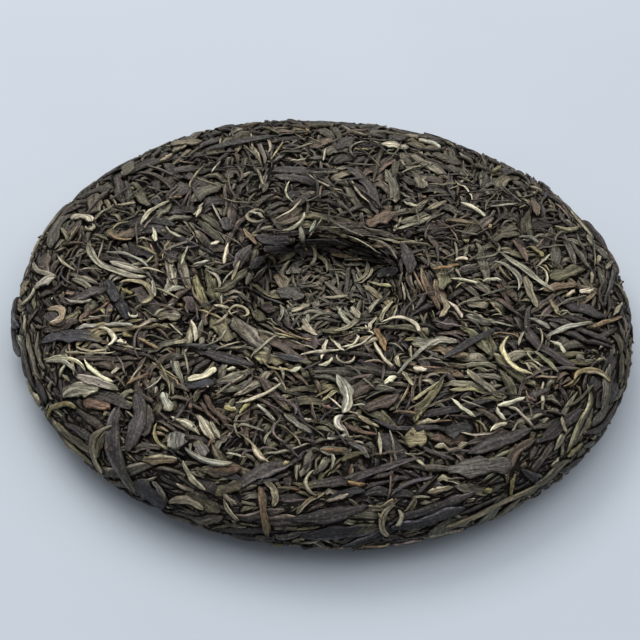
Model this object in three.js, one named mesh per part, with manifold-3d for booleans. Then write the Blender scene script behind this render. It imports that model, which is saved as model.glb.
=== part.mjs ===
import * as THREE from "three";
import { mergeVertices } from "three/addons/utils/BufferGeometryUtils.js";
import Module from "manifold-3d";

// A pressed cake of raw pu erh tea, lying with its hollow up. It is a thick round disc with a
// rolled side, made of rolled leaves pressed together in a cloth bag. The bag's knot left the
// hollow, a little off the middle, and the face that it rests on is gently domed.
// Millimetres, +Z up, the origin under the middle of the cake on the surface that it rests on.

// The pressed form, as one half outline from the resting face round to the hollow.
const CAKE_RADIUS = 100;
const SIDE_HEIGHT = 10; // where the side stands furthest out
const REST_RADIUS = 54; // the flat middle of the domed face
const SHOULDER_RADIUS = 89; // where the upper face turns down into the side
const SHOULDER_HEIGHT = 22;
const CROWN_RADIUS = 36; // the thickest ring, round the hollow
const CROWN_HEIGHT = 25;

// The hollow. Its floor lies further back than its lip, so its back wall is steep.
const LIP_RADIUS = 27;
const FLOOR_RADIUS = 20;
const FLOOR_HEIGHT = 15.5;
const LIP_SHIFT_Y = -5;
const FLOOR_SHIFT_Y = 1;
const SHIFT_FADE_RADIUS = 78; // the cake is centred again from here outwards

// The cake is not quite round or level.
const OVAL_SHARE = 0.006;
const OVAL_ANGLE = 2.0;
const LOBE_SHARE = 0.004;
const LOBE_ANGLE = 0.5;
const FACE_WAVE = 0.7;

// The body under the leaves lies this far inside the pressed form, except on a flat spot that
// it rests on. The rings are those of each stretch of the half outline, in turn.
const BODY_INSET = 1.5;
const REST_SPOT_RADIUS = REST_RADIUS / 2;
const BODY_LUMP = 0.35;
const BODY_SECTORS = 32;
const BODY_RINGS = [2, 3, 4, 3, 2, 2, 1];

// The rolled leaves. Each is a spindle bent along the surface and half sunk in the body.
const LEAF_COUNT = 182;
const UNDERSIDE_SHARE = 0.6; // leaves on the underside, for each one on the same area above
const LEAF_SIDES = 4;
const LEAF_RINGS = 4;
const LEAF_LENGTH = [14, 30];
const LEAF_WIDTH = [3.6, 7];
const LEAF_THICKNESS = [2.8, 3.8];
const LEAF_SINK = [1.0, 1.6]; // depth of a leaf's middle below the pressed form
const LEAF_BEND = 0.045; // radians of turn for each millimetre of length
const WALK_STEP = 0.8;
const LEAF_SEED = 20;

const LEAF_COLOUR = 0x423d36;
const LEAF_ROUGHNESS = 0.62;

const smooth = (from, to, value) => THREE.MathUtils.smoothstep(value, from, to);
const mix = THREE.MathUtils.lerp;
const between = (draw, [low, high]) => mix(low, high, draw());

// Seeded random draws from 0 to 1.
function seededDraws(seed) {
  let state = seed >>> 0;
  return () => {
    state = (state + 0x6d2b79f5) >>> 0;
    let bits = Math.imul(state ^ (state >>> 15), 1 | state);
    bits = (bits + Math.imul(bits ^ (bits >>> 7), 61 | bits)) ^ bits;
    return ((bits ^ (bits >>> 14)) >>> 0) / 2 ** 32;
  };
}

// The half outline, x as the distance from the axis and y as the height.
function halfOutline() {
  const outline = new THREE.Path();
  outline.moveTo(0, 0);
  outline.lineTo(REST_RADIUS, 0);
  outline.bezierCurveTo(REST_RADIUS + 24, 0, CAKE_RADIUS, 1.5, CAKE_RADIUS, SIDE_HEIGHT);
  outline.bezierCurveTo(CAKE_RADIUS, 17, 96.5, 21, SHOULDER_RADIUS, SHOULDER_HEIGHT);
  outline.bezierCurveTo(70, 24.4, 52, CROWN_HEIGHT, CROWN_RADIUS, CROWN_HEIGHT);
  outline.bezierCurveTo(LIP_RADIUS + 1, CROWN_HEIGHT, LIP_RADIUS - 2, 23, LIP_RADIUS - 4, 20);
  outline.bezierCurveTo(FLOOR_RADIUS + 1, 16.5, FLOOR_RADIUS, FLOOR_HEIGHT, FLOOR_RADIUS - 5, FLOOR_HEIGHT);
  outline.lineTo(0, FLOOR_HEIGHT);
  return outline;
}

const OUTLINE = halfOutline();
const OUTLINE_LENGTH = OUTLINE.getLength();

// The place on the round form that is `along` millimetres up the outline and `around` radians
// round the axis, with its outward normal and the directions up the outline and round.
function faceAt(along, around) {
  const share = THREE.MathUtils.clamp(along / OUTLINE_LENGTH, 0, 1);
  const place = OUTLINE.getPointAt(share);
  const rise = OUTLINE.getTangentAt(share);
  const out = new THREE.Vector3(Math.cos(around), Math.sin(around), 0);
  const up = new THREE.Vector3(0, 0, 1);
  return {
    radius: Math.max(place.x, 0.5),
    growth: rise.x,
    point: out.clone().multiplyScalar(place.x).addScaledVector(up, place.y),
    normal: out.clone().multiplyScalar(rise.y).addScaledVector(up, -rise.x),
    climb: out.clone().multiplyScalar(rise.x).addScaledVector(up, rise.y),
    turn: new THREE.Vector3(-out.y, out.x, 0),
  };
}

// Turns a point of the round form into one of the real, uneven cake: the hollow moves off the
// middle, the plan is a little oval and lobed, and the upper face is wavy.
function makeUneven(point) {
  const radius = Math.hypot(point.x, point.y);
  const angle = Math.atan2(point.y, point.x);
  const upper = smooth(8, 14, point.z);
  const shift = mix(FLOOR_SHIFT_Y, LIP_SHIFT_Y, smooth(FLOOR_HEIGHT, CROWN_HEIGHT, point.z));
  const fade = 1 - smooth(CROWN_RADIUS, SHIFT_FADE_RADIUS, radius);
  const stretch =
    1 + OVAL_SHARE * Math.cos(2 * (angle - OVAL_ANGLE)) + LOBE_SHARE * Math.cos(3 * (angle - LOBE_ANGLE));
  const wave = Math.sin(point.x / 17 + 0.6) * Math.cos(point.y / 21) + 0.6 * Math.sin((point.x - point.y) / 12);
  return point.set(
    point.x * stretch,
    point.y * stretch + shift * fade * upper,
    point.z + FACE_WAVE * wave * upper,
  );
}

// A closed solid from a geometry whose shared points are merged.
function solidFrom(wasm, geometry) {
  geometry.deleteAttribute("normal");
  geometry.deleteAttribute("uv");
  const merged = mergeVertices(geometry, 1e-3);
  const vertProperties = new Float32Array(merged.attributes.position.array);
  const triVerts = new Uint32Array(merged.index.array);
  return new wasm.Manifold(new wasm.Mesh({ numProp: 3, vertProperties, triVerts }));
}

// Applies a function to every vertex of a geometry.
function moveVertices(geometry, move) {
  const positions = geometry.attributes.position;
  const vertex = new THREE.Vector3();
  for (let i = 0; i < positions.count; i += 1) {
    move(vertex.fromBufferAttribute(positions, i));
    positions.setXYZ(i, vertex.x, vertex.y, vertex.z);
  }
}

// The half outline of the body, inside the pressed form but for the spot that it rests on.
function bodyOutline() {
  const points = [];
  OUTLINE.curves.forEach((stretch, index) => {
    for (let ring = 0; ring < BODY_RINGS[index]; ring += 1) {
      const place = stretch.getPoint(ring / BODY_RINGS[index]);
      const rise = stretch.getTangent(ring / BODY_RINGS[index]);
      const onSpot = place.y < BODY_INSET && place.x <= REST_SPOT_RADIUS;
      const inward = new THREE.Vector2(-rise.y, rise.x).multiplyScalar(onSpot ? 0 : BODY_INSET);
      points.push(place.add(inward));
    }
  });
  points.push(new THREE.Vector2(0, FLOOR_HEIGHT - BODY_INSET));
  return points;
}

// The body under the leaves: its outline turned round the axis, made lumpy and uneven.
function bodyGeometry() {
  const geometry = new THREE.LatheGeometry(bodyOutline(), BODY_SECTORS).rotateX(Math.PI / 2);
  moveVertices(geometry, (vertex) => {
    const raised = smooth(BODY_INSET, 2 * BODY_INSET, vertex.z);
    const lump = Math.sin(vertex.x / 2.3) * Math.sin(vertex.y / 2.9) + Math.sin((vertex.x + vertex.y) / 3.7);
    vertex.z += BODY_LUMP * lump * raised;
    makeUneven(vertex);
  });
  return geometry;
}

// The places walked through by a leaf's middle line, at each of the distances from its centre.
function walkSurface(leaf, distance) {
  const steps = Math.max(1, Math.ceil(Math.abs(distance) / WALK_STEP));
  const step = distance / steps;
  let { along, around, heading } = leaf;
  for (let i = 0; i < steps; i += 1) {
    const face = faceAt(along, around);
    const straight = (-face.growth * Math.sin(heading)) / face.radius;
    along += Math.cos(heading) * step;
    around += (Math.sin(heading) * step) / face.radius;
    heading += (leaf.bend + straight) * step;
  }
  const face = faceAt(along, around);
  const forward = face.climb
    .clone()
    .multiplyScalar(Math.cos(heading))
    .addScaledVector(face.turn, Math.sin(heading));
  return { ...face, forward, side: forward.clone().cross(face.normal) };
}

// One rolled leaf: a low sphere drawn out to a spindle and bent along the surface.
function leafGeometry(leaf) {
  const geometry = new THREE.SphereGeometry(1, LEAF_SIDES, LEAF_RINGS);
  moveVertices(geometry, (vertex) => {
    const face = walkSurface(leaf, (vertex.y * leaf.length) / 2);
    const across = (vertex.x * leaf.width) / 2;
    const above = (vertex.z * leaf.thickness) / 2 - leaf.sink;
    vertex.copy(face.point).addScaledVector(face.side, across).addScaledVector(face.normal, above);
    makeUneven(vertex);
  });
  return geometry;
}

// How far along the outline a share of all the leaves is reached.
function shareOfSurface() {
  const samples = 400;
  const reached = [0];
  for (let i = 1; i <= samples; i += 1) {
    const face = faceAt((OUTLINE_LENGTH * (i - 0.5)) / samples, 0);
    const density = face.normal.z < -0.5 ? UNDERSIDE_SHARE : 1;
    reached.push(reached[i - 1] + face.radius * density);
  }
  return (share) => {
    const wanted = share * reached[samples];
    const index = reached.findIndex((area) => area >= wanted);
    return (OUTLINE_LENGTH * index) / samples;
  };
}

// The leaves, spread evenly over both faces and the side by the golden angle. Those near the
// side and the hollow's lip lie mostly round the cake, and the others lie any way.
function drawLeaves() {
  const draw = seededDraws(LEAF_SEED);
  const alongAtShare = shareOfSurface();
  const goldenAngle = Math.PI * (3 - Math.sqrt(5));
  const leaves = [];
  for (let i = 0; i < LEAF_COUNT; i += 1) {
    const along = alongAtShare((i + 0.5) / LEAF_COUNT);
    if (along < REST_SPOT_RADIUS) continue;
    const { radius, normal } = faceAt(along, 0);
    const steep = 1 - Math.abs(normal.z);
    const spread = mix(Math.PI, 0.7, smooth(0.02, 0.4, steep + 0.3 * smooth(86, 98, radius)));
    leaves.push({
      along,
      around: i * goldenAngle,
      heading: Math.PI / 2 + (draw() - 0.5) * spread,
      bend: (draw() - 0.5) * 2 * LEAF_BEND,
      length: between(draw, LEAF_LENGTH),
      width: between(draw, LEAF_WIDTH),
      thickness: between(draw, LEAF_THICKNESS),
      sink: between(draw, LEAF_SINK),
    });
  }
  return leaves;
}

// The whole cake as one solid, with its leaves pressed level where it rests.
function cakeSolid(wasm) {
  let cake = solidFrom(wasm, bodyGeometry());
  for (const leaf of drawLeaves()) cake = cake.add(solidFrom(wasm, leafGeometry(leaf)));
  const reach = 3 * CAKE_RADIUS;
  const aboveTable = new THREE.BoxGeometry(reach, reach, reach).translate(0, 0, reach / 2);
  const pieces = cake.intersect(solidFrom(wasm, aboveTable)).decompose();
  return pieces.sort((a, b) => b.volume() - a.volume())[0];
}

function meshOf(solid) {
  const made = solid.getMesh();
  const geometry = new THREE.BufferGeometry();
  geometry.setAttribute("position", new THREE.BufferAttribute(made.vertProperties, made.numProp));
  geometry.setIndex(new THREE.BufferAttribute(made.triVerts, 1));
  geometry.computeVertexNormals();
  const material = new THREE.MeshStandardMaterial({
    color: LEAF_COLOUR,
    roughness: LEAF_ROUGHNESS,
    metalness: 0,
  });
  const mesh = new THREE.Mesh(geometry, material);
  mesh.name = "tea_cake";
  return mesh;
}

const wasm = await Module();
wasm.setup();

const group = new THREE.Group();
group.name = "pu_erh_tea_cake";
group.add(meshOf(cakeSolid(wasm)));

export default group;
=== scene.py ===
import math

import bmesh
import bpy
import numpy as np
from mathutils import Matrix, Vector


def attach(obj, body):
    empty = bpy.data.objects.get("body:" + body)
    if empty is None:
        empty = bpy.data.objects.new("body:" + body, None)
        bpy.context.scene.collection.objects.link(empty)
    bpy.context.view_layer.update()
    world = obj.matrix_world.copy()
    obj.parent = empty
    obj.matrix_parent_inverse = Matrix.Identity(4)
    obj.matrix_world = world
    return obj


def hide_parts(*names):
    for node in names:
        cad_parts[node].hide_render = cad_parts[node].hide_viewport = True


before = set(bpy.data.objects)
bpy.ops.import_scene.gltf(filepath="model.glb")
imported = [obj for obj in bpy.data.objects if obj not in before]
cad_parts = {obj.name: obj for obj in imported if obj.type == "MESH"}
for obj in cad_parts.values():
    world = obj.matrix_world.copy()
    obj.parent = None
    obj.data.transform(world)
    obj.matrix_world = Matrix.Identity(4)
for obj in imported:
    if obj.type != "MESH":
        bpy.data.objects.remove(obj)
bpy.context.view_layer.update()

# The view: the cake lies on a table with its hollow up, and is looked down on from half a metre
# away, with a moderate lens and a slight tilt of the head.
MM = 0.001
VIEW_FROM = Vector((0, -379.3, 337.8)) * MM
VIEW_TO = Vector((-1.4, -8.0, 12)) * MM
VIEW_TILT = math.radians(2.49)
LENS_LENGTH = 86.85
SENSOR_WIDTH = 36

camera = bpy.data.objects.new("camera", bpy.data.cameras.new("camera"))
camera.data.lens = LENS_LENGTH
camera.data.sensor_width = SENSOR_WIDTH
gaze = (VIEW_TO - VIEW_FROM).to_track_quat("-Z", "Y").to_matrix() @ Matrix.Rotation(VIEW_TILT, 3, "Z")
camera.location = VIEW_FROM
camera.rotation_euler = gaze.to_euler()
bpy.context.collection.objects.link(camera)
bpy.context.scene.camera = camera


# The pressed form. Steamed leaves are twisted up in a cloth bag and pressed under a stone, which
# gives a thick disc with a rolled side. The bag's knot leaves the hollow, a little off the middle.
CAKE_RADIUS = 100 * MM
SIDE_HEIGHT = 10 * MM
REST_RADIUS = 54 * MM
SHOULDER = (89 * MM, 22 * MM)
CROWN = (36 * MM, 25 * MM)
LIP_RADIUS = 27 * MM
FLOOR = (20 * MM, 15.5 * MM)
LIP_SHIFT = -5 * MM
FLOOR_SHIFT = 1 * MM
SHIFT_FADE_RADIUS = 78 * MM
FACE_WAVE = 0.7 * MM
# what lies lower than this is pressed together over the table
FLATTENED = 0.6 * MM


def stretch_of_outline(start, first, second, end, count=400):
    """A cubic curve of the half outline, as radius and height."""
    share = np.linspace(0, 1, count)[:, None]
    corners = [np.array(corner, float) for corner in (start, first, second, end)]
    weights = [(1 - share) ** 3, 3 * share * (1 - share) ** 2, 3 * share**2 * (1 - share), share**3]
    return sum(weight * corner for weight, corner in zip(weights, corners))


def half_outline():
    """The half outline from the axis below, out round the side and back to the axis above."""
    lip, floor, side = LIP_RADIUS, FLOOR[0], (CAKE_RADIUS, SIDE_HEIGHT)
    return np.concatenate([
        [(0, 0)],
        stretch_of_outline(
            (REST_RADIUS, 0), (REST_RADIUS + 24 * MM, 0), (CAKE_RADIUS, 1.5 * MM), side),
        stretch_of_outline(side, (CAKE_RADIUS, 17 * MM), (96.5 * MM, 21 * MM), SHOULDER),
        stretch_of_outline(SHOULDER, (70 * MM, 24.4 * MM), (52 * MM, CROWN[1]), CROWN),
        stretch_of_outline(CROWN, (lip + MM, CROWN[1]), (lip - 2 * MM, 23 * MM), (lip - 4 * MM, 20 * MM)),
        stretch_of_outline(
            (lip - 4 * MM, 20 * MM), (floor + MM, 16.5 * MM), FLOOR, (floor - 5 * MM, FLOOR[1])),
        [(0, FLOOR[1])],
    ])


raw_outline = half_outline()
raw_along = np.concatenate([[0], np.cumsum(np.hypot(*np.diff(raw_outline, axis=0).T))])
OUTLINE_LENGTH = raw_along[-1]
form_along = np.arange(0, OUTLINE_LENGTH, 0.1 * MM)
form_radius = np.interp(form_along, raw_along, raw_outline[:, 0])
form_height = np.interp(form_along, raw_along, raw_outline[:, 1])
form_growth = np.gradient(form_radius, form_along)
form_rise = np.gradient(form_height, form_along)


def smooth(low, high, value):
    """A share that rises softly from 0 at the first value to 1 at the second."""
    share = np.clip((value - low) / (high - low), 0, 1)
    return share * share * (3 - 2 * share)


def on_form(along, around, height):
    """Points at a height over the round form, `along` up its outline and `around` its axis."""
    growth = np.interp(along, form_along, form_growth)
    rise = np.interp(along, form_along, form_rise)
    radius = np.interp(along, form_along, form_radius) + rise * height
    return np.stack([
        radius * np.cos(around),
        radius * np.sin(around),
        np.interp(along, form_along, form_height) - growth * height,
    ], axis=-1)


def make_uneven(points):
    """Shifts the hollow, makes the plan a little oval, waves the face, and keeps all above the table."""
    x, y, z = points[..., 0], points[..., 1], points[..., 2]
    angle = np.arctan2(y, x)
    upper = smooth(8 * MM, 14 * MM, z)
    shift = FLOOR_SHIFT + (LIP_SHIFT - FLOOR_SHIFT) * smooth(FLOOR[1], CROWN[1], z)
    fade = 1 - smooth(CROWN[0], SHIFT_FADE_RADIUS, np.hypot(x, y))
    stretch = 1 + 0.006 * np.cos(2 * (angle - 2.0)) + 0.004 * np.cos(3 * (angle - 0.5))
    wave = np.sin(x / (17 * MM) + 0.6) * np.cos(y / (21 * MM)) + 0.6 * np.sin((x - y) / (12 * MM))
    z = z + FACE_WAVE * wave * upper
    z = np.where(z < FLATTENED, FLATTENED * np.exp(z / FLATTENED - 1), z)
    return np.stack([x * stretch, y * stretch + shift * fade * upper, z], axis=-1)


# The heart of the cake, which shows only at the bottom of the cracks between leaves. It is the same
# pressed leaf, fine and lumpy; its near-black colour is painted shade for the bottom of the cracks.
CRACK_DEPTH_SIDE = 1.6 * MM
CRACK_DEPTH_FACE = 3.0 * MM
HEART_LUMP = 0.4 * MM
HEART_SECTORS = 220
shoulder_along = form_along[np.argmin(np.hypot(form_radius - SHOULDER[0], form_height - SHOULDER[1]))]
hollow_along = form_along[form_radius > LIP_RADIUS - MM][-1]


def crack_depth(along):
    """How deep the cracks go: deep on the face, less on the side and on the face that it rests on."""
    on_face = smooth(shoulder_along - 6 * MM, shoulder_along + 6 * MM, along)
    return CRACK_DEPTH_SIDE + (CRACK_DEPTH_FACE - CRACK_DEPTH_SIDE) * on_face


heart = bmesh.new()
outline_places = np.linspace(0, OUTLINE_LENGTH, 150)
profile_points = on_form(outline_places, 0.0, -crack_depth(outline_places))
profile_points[0, 0] = profile_points[-1, 0] = 0
profile_points[:, 2] = np.maximum(profile_points[:, 2], 1.2 * MM)
chain = [heart.verts.new(point) for point in profile_points]
edges = [heart.edges.new(pair) for pair in zip(chain, chain[1:])]
bmesh.ops.spin(
    heart, geom=chain + edges, cent=(0, 0, 0), axis=(0, 0, 1), angle=math.tau,
    steps=HEART_SECTORS, use_merge=True, use_duplicate=False)
bmesh.ops.remove_doubles(heart, verts=heart.verts, dist=0.01 * MM)
for vertex in heart.verts:
    x, y, z = vertex.co / MM
    lump = math.sin(x / 1.1 + math.sin(y / 2.3)) * math.sin(y / 1.3 + math.sin(x / 2.9))
    lump += math.sin((x + y) / 2.1) * math.sin((x - z) / 1.7)
    vertex.co.z += HEART_LUMP * lump * float(smooth(0.5, 2.0, z))
    vertex.co = make_uneven(np.array(vertex.co))
bmesh.ops.recalc_face_normals(heart, faces=heart.faces)
for face in heart.faces:
    face.smooth = True
heart_mesh = bpy.data.meshes.new("cake_heart")
heart.to_mesh(heart_mesh)
heart.free()


def linear(red, green, blue):
    """A colour as the eye names it, 0 to 255, turned into the shader's linear values."""
    share = np.array([red, green, blue]) / 255
    return np.where(share <= 0.04045, share / 12.92, ((share + 0.055) / 1.055) ** 2.4)


def new_material(name):
    """A material with its node tree, its main shader, and a helper that adds linked nodes."""
    material = bpy.data.materials.new(name)
    material.use_nodes = True
    tree = material.node_tree

    def add(kind, inputs=(), **settings):
        node = tree.nodes.new(kind)
        for key, value in settings.items():
            setattr(node, key, value)
        for socket, value in dict(inputs).items():
            if isinstance(value, bpy.types.NodeSocket):
                tree.links.new(value, node.inputs[socket])
            else:
                node.inputs[socket].default_value = value
        return node

    return material, tree.nodes["Principled BSDF"], add


def link_inputs(shader, **sources):
    """Links sockets to the shader's inputs, which are named with _ for a space."""
    for name, source in sources.items():
        shader.id_data.links.new(source, shader.inputs[name.replace("_", " ")])


def add_object(name, mesh, material):
    """An object in the scene, of one mesh and one material."""
    thing = bpy.data.objects.new(name, mesh)
    bpy.context.collection.objects.link(thing)
    thing.data.materials.append(material)
    return thing


def add_piece(name, mesh, material):
    """A piece of the cake: it rides on the root, and stands in for the solid with the others."""
    piece = add_object(name, mesh, material)
    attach(piece, "root")
    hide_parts("tea_cake")
    return piece


heart_material, shader, add = new_material("painted_crack_shade")
place = add("ShaderNodeTexCoord").outputs["Object"]
specks = add("ShaderNodeTexNoise", {"Vector": place, "Scale": 700.0, "Detail": 4.0})
# painted shade: the heart is coloured near black, darker than any leaf, for the shade deep in the cracks
shade = add("ShaderNodeValToRGB", {"Fac": specks.outputs["Fac"]})
shade.color_ramp.elements[0].position = 0.35
shade.color_ramp.elements[0].color = (*linear(11, 10, 8), 1)
shade.color_ramp.elements[1].position = 0.75
shade.color_ramp.elements[1].color = (*linear(33, 29, 24), 1)
dents = add("ShaderNodeBump", {"Height": specks.outputs["Fac"], "Strength": 0.8, "Distance": 0.4 * MM})
link_inputs(shader, Base_Color=shade.outputs["Color"], Normal=dents.outputs["Normal"])
shader.inputs["Roughness"].default_value = 0.85
shader.inputs["Specular IOR Level"].default_value = 0.1
add_piece("cake_heart", heart_mesh, heart_material)


# The leaves that stand out on the face, each placed where it lies on this cake: silvery folds, pale
# bent buds, tan stems, yellow flakes and dark blades. Pressing lays each leaf level with the pressed
# face; it dips under those laid over it and rises again beyond them, so the first laid show whole.

# stations along each leaf and ribs across it, and the points between which its folds rise and fall
FINE = 61
SPAN = np.linspace(-1, 1, FINE)
ACROSS = 19
RIBS = np.linspace(-1, 1, ACROSS)
MIDRIB = ACROSS // 2
KNOTS = 28
# the cells of the face in which the laying notes what is covered, and how many leaves it takes at once
CELL = 0.5 * MM
BATCH = 300
LEAST_GAP = 0.04 * MM

row_along = np.arange(0, OUTLINE_LENGTH, CELL)
row_length = math.tau * np.interp(row_along, form_along, form_radius)
row_cells = np.maximum(6, np.ceil(row_length / CELL)).astype(int)
row_start = np.concatenate([[0], np.cumsum(row_cells)])
ceiling = np.zeros(row_start[-1])
crest = -np.repeat(crack_depth(row_along), row_cells)
covered = np.zeros(row_start[-1], bool)


def cell_of(along, around):
    """The cell of the face that a place is in."""
    row = np.clip((along / CELL).astype(int), 0, len(row_along) - 1)
    turn = np.mod(around / math.tau, 1.0)
    return row_start[row] + np.minimum((turn * row_cells[row]).astype(int), row_cells[row] - 1)


def slide(along, around, climb, turn):
    """Moves over the form, up its outline and round its axis, and says how far the frame swings."""
    growth = np.interp(along, form_along, form_growth)
    out = np.interp(along, form_along, form_radius) + growth * climb
    swing = np.arctan2(turn, out)
    moved = along + climb + growth * (np.hypot(out, turn) - out)
    return np.clip(moved, 0, OUTLINE_LENGTH), around + swing, growth * swing


def middle_lines(leaves):
    """The places and headings along every leaf's middle, walked outwards from its centre."""
    half = FINE // 2
    shape = (len(leaves["along"]), FINE)
    along, around, heading = np.empty(shape), np.empty(shape), np.empty(shape)
    along[:, half], around[:, half], heading[:, half] = leaves["along"], leaves["around"], leaves["heading"]
    step = leaves["length"] / (FINE - 1)
    for sign in (1, -1):
        for station in range(half, half + sign * half, sign):
            share = SPAN[station]
            hook = leaves["hook"] * smooth(0.3, 1.0, share) + leaves["back_hook"] * smooth(0.3, 1.0, -share)
            kink = leaves["kink"] * np.exp(-((share - 0.7 * np.sin(5 * leaves["phase"])) / 0.07) ** 2)
            bend = leaves["bend"] + hook + kink + leaves["wiggle"] * np.sin(3.4 * share + leaves["phase"])
            here = heading[:, station]
            climb, turn = sign * step * np.cos(here), sign * step * np.sin(here)
            moved, turned, swing = slide(along[:, station], around[:, station], climb, turn)
            along[:, station + sign], around[:, station + sign] = moved, turned
            heading[:, station + sign] = here - swing + sign * bend * step
    return along, around, heading


def end_taper(leaves):
    """How wide each leaf is along its length: pointed or torn off at each end, and a little lumpy."""
    share = SPAN[None, :]
    sharp = np.where(share < 0, leaves["sharp_back"][:, None], leaves["sharp_front"][:, None])
    body = np.clip(1 - np.abs(share) ** sharp, 0, 1) ** 0.7
    phase = leaves["phase"][:, None]
    lumps = np.sin(5.1 * share + phase) + 0.6 * np.sin(11.3 * share + 2.7 * phase)
    return np.clip(body * (1 + leaves["lumps"][:, None] * lumps), 0.1, 1.4)


def roll_relief(leaves):
    """The height of each leaf's top over its width, from 0 to 1: rolled up, with lengthwise folds."""
    share, rib = SPAN[None, :, None], RIBS[None, None, :]
    edge, depth, cup, twist, pleats = (
        leaves[key][:, None, None] for key in ("edge", "fold_depth", "cup", "twist", "pleats"))
    knots = np.random.default_rng(7).random((len(leaves["phase"]), KNOTS))
    knots[:, ::2] = 0.3 * knots[:, ::2] + 0.7
    knots[:, 1::2] = 0.6 * knots[:, 1::2]
    place = 9 + leaves["phase"][:, None, None] / math.tau * 6 + pleats * rib + twist * share
    knot = np.clip(place.astype(int), 0, KNOTS - 2)
    row = np.arange(len(knots))[:, None, None]
    ridge = knots[row, knot] + (place - knot) * (knots[row, knot + 1] - knots[row, knot])
    dome = np.clip(1 - np.abs(rib) ** edge, 0, 1) ** 0.7
    rolled = (0.2 + 0.8 * dome) * (1 - depth + depth * ridge)
    return (1 - cup) * rolled + cup * (0.2 + 0.8 * np.abs(rib) ** 1.3)


def laid_level(roof, step):
    """The level of a leaf's top under a roof of others: it can't bend sharply under them."""
    reach = int(np.clip(round(0.7 * MM / step), 1, 8))
    padded = np.pad(roof, 2 * reach, mode="edge")
    lowest = np.lib.stride_tricks.sliding_window_view(padded, 2 * reach + 1).min(axis=1)
    return np.lib.stride_tricks.sliding_window_view(lowest, 2 * reach + 1).mean(axis=1)


def lay(leaves, least_shown):
    """Lays leaves on the cake, each under those before it, and returns the ones that show."""
    laid = []
    for start in range(0, len(leaves["along"]), BATCH):
        batch = {key: value[start:start + BATCH] for key, value in leaves.items()}
        along, around, heading = middle_lines(batch)
        breadth = 0.5 * batch["width"][:, None] * end_taper(batch)
        sway = batch["sway"][:, None] * np.sin(6.3 * SPAN + 1.7 * batch["phase"][:, None])
        offset = breadth[:, :, None] * (RIBS + sway[:, :, None])
        side_along, side_around, _ = slide(
            along[:, :, None], around[:, :, None],
            -np.sin(heading)[:, :, None] * offset, np.cos(heading)[:, :, None] * offset)
        cells = cell_of(side_along, side_around)
        deepest = -crack_depth(side_along)
        relief = roll_relief(batch)
        pressed = 1 - 0.55 * smooth(hollow_along + 2 * MM, hollow_along + 10 * MM, batch["along"])
        thickness = pressed * batch["thickness"]
        thickness = thickness[:, None] * np.clip(breadth / (0.5 * batch["width"][:, None]), 0.35, 1)
        for k in range(len(cells)):
            roof = ceiling[cells[k]]
            level = laid_level(roof[:, 6:13].min(axis=1), batch["length"][k] / (FINE - 1))
            rest = batch["level"][k] - batch["dip"][k] * np.abs(SPAN) ** 4
            rest = rest + batch["wave"][k] * np.sin(7.1 * SPAN + batch["phase"][k])
            top = (level + pressed[k] * rest)[:, None] - thickness[k][:, None] * (1 - relief[k])
            bottom = deepest[k] + 0.1 * MM + 0.5 * thickness[k][:, None] * relief[k]
            top = np.where(covered[cells[k]], np.minimum(top, roof - LEAST_GAP), np.maximum(top, bottom))
            shown = ~covered[cells[k]] | (top > crest[cells[k]])
            if (shown & ~covered[cells[k]]).mean() < least_shown:
                continue
            crest[cells[k][shown]] = top[shown]
            covered[cells[k]] = True
            np.minimum.at(ceiling, cells[k], top - batch["sheet"][k])
            seen = np.flatnonzero(shown.any(axis=1))
            laid.append({
                "first": max(seen[0] - 4, 0), "last": min(seen[-1] + 4, FINE - 1),
                "along": side_along[k], "around": side_around[k], "top": top,
                "offset": offset[k], "relief": relief[k],
                **{key: batch[key][k] for key in (
                    "length", "width", "phase", "pale_edge", "stripe_and_highlight", "tone", "tip", "tip_side")},
            })
    return laid


# name of the shape: how the ends taper, how the leaf is rolled, how thick it lies
LEAF_SHAPES = {
    "leaf": {},
    "bud": {
        "sharp_back": (1.4, 2.6), "sharp_front": (2.5, 7), "twist": (-2, 2), "fold_depth": (0.3, 0.75),
        "cup": (-0.8, 0.5), "thickness": (0.7 * MM, 1.0 * MM), "lumps": (0.06, 0.2), "sway": (0.05, 0.25),
        "level": (-0.2 * MM, 0.15 * MM), "pale_edge": (0, 0), "stripe_and_highlight": (0.1, 0.3), "pleats": (1.6, 2.6)},
    "pleated": {
        "sharp_back": (1.4, 4), "sharp_front": (1.4, 4), "twist": (-1.2, 1.2), "fold_depth": (0.6, 0.9),
        "edge": (3, 7), "cup": (-1, 0.3), "lumps": (0.06, 0.16), "pleats": (4.5, 7),
        "stripe_and_highlight": (0.25, 0.65), "level": (-0.35 * MM, 0.05 * MM), "dip": (0.2 * MM, 0.9 * MM)},
    "flake": {
        "sharp_back": (2.5, 8), "sharp_front": (2.5, 8), "twist": (-0.3, 0.3), "fold_depth": (0.3, 0.6),
        "edge": (6, 12), "cup": (-0.6, 0.4), "thickness": (0.45 * MM, 0.7 * MM), "lumps": (0.1, 0.24),
        "sway": (0.05, 0.2), "sheet": (0.2 * MM, 0.3 * MM), "pleats": (3, 5)},
    "strand": {
        "sharp_back": (1.6, 4), "sharp_front": (1.6, 4), "thickness": (0.35 * MM, 0.55 * MM),
        "level": (-0.25 * MM, 0.1 * MM), "dip": (0, 0.4 * MM), "sheet": (0.18 * MM, 0.24 * MM)},
}


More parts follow.
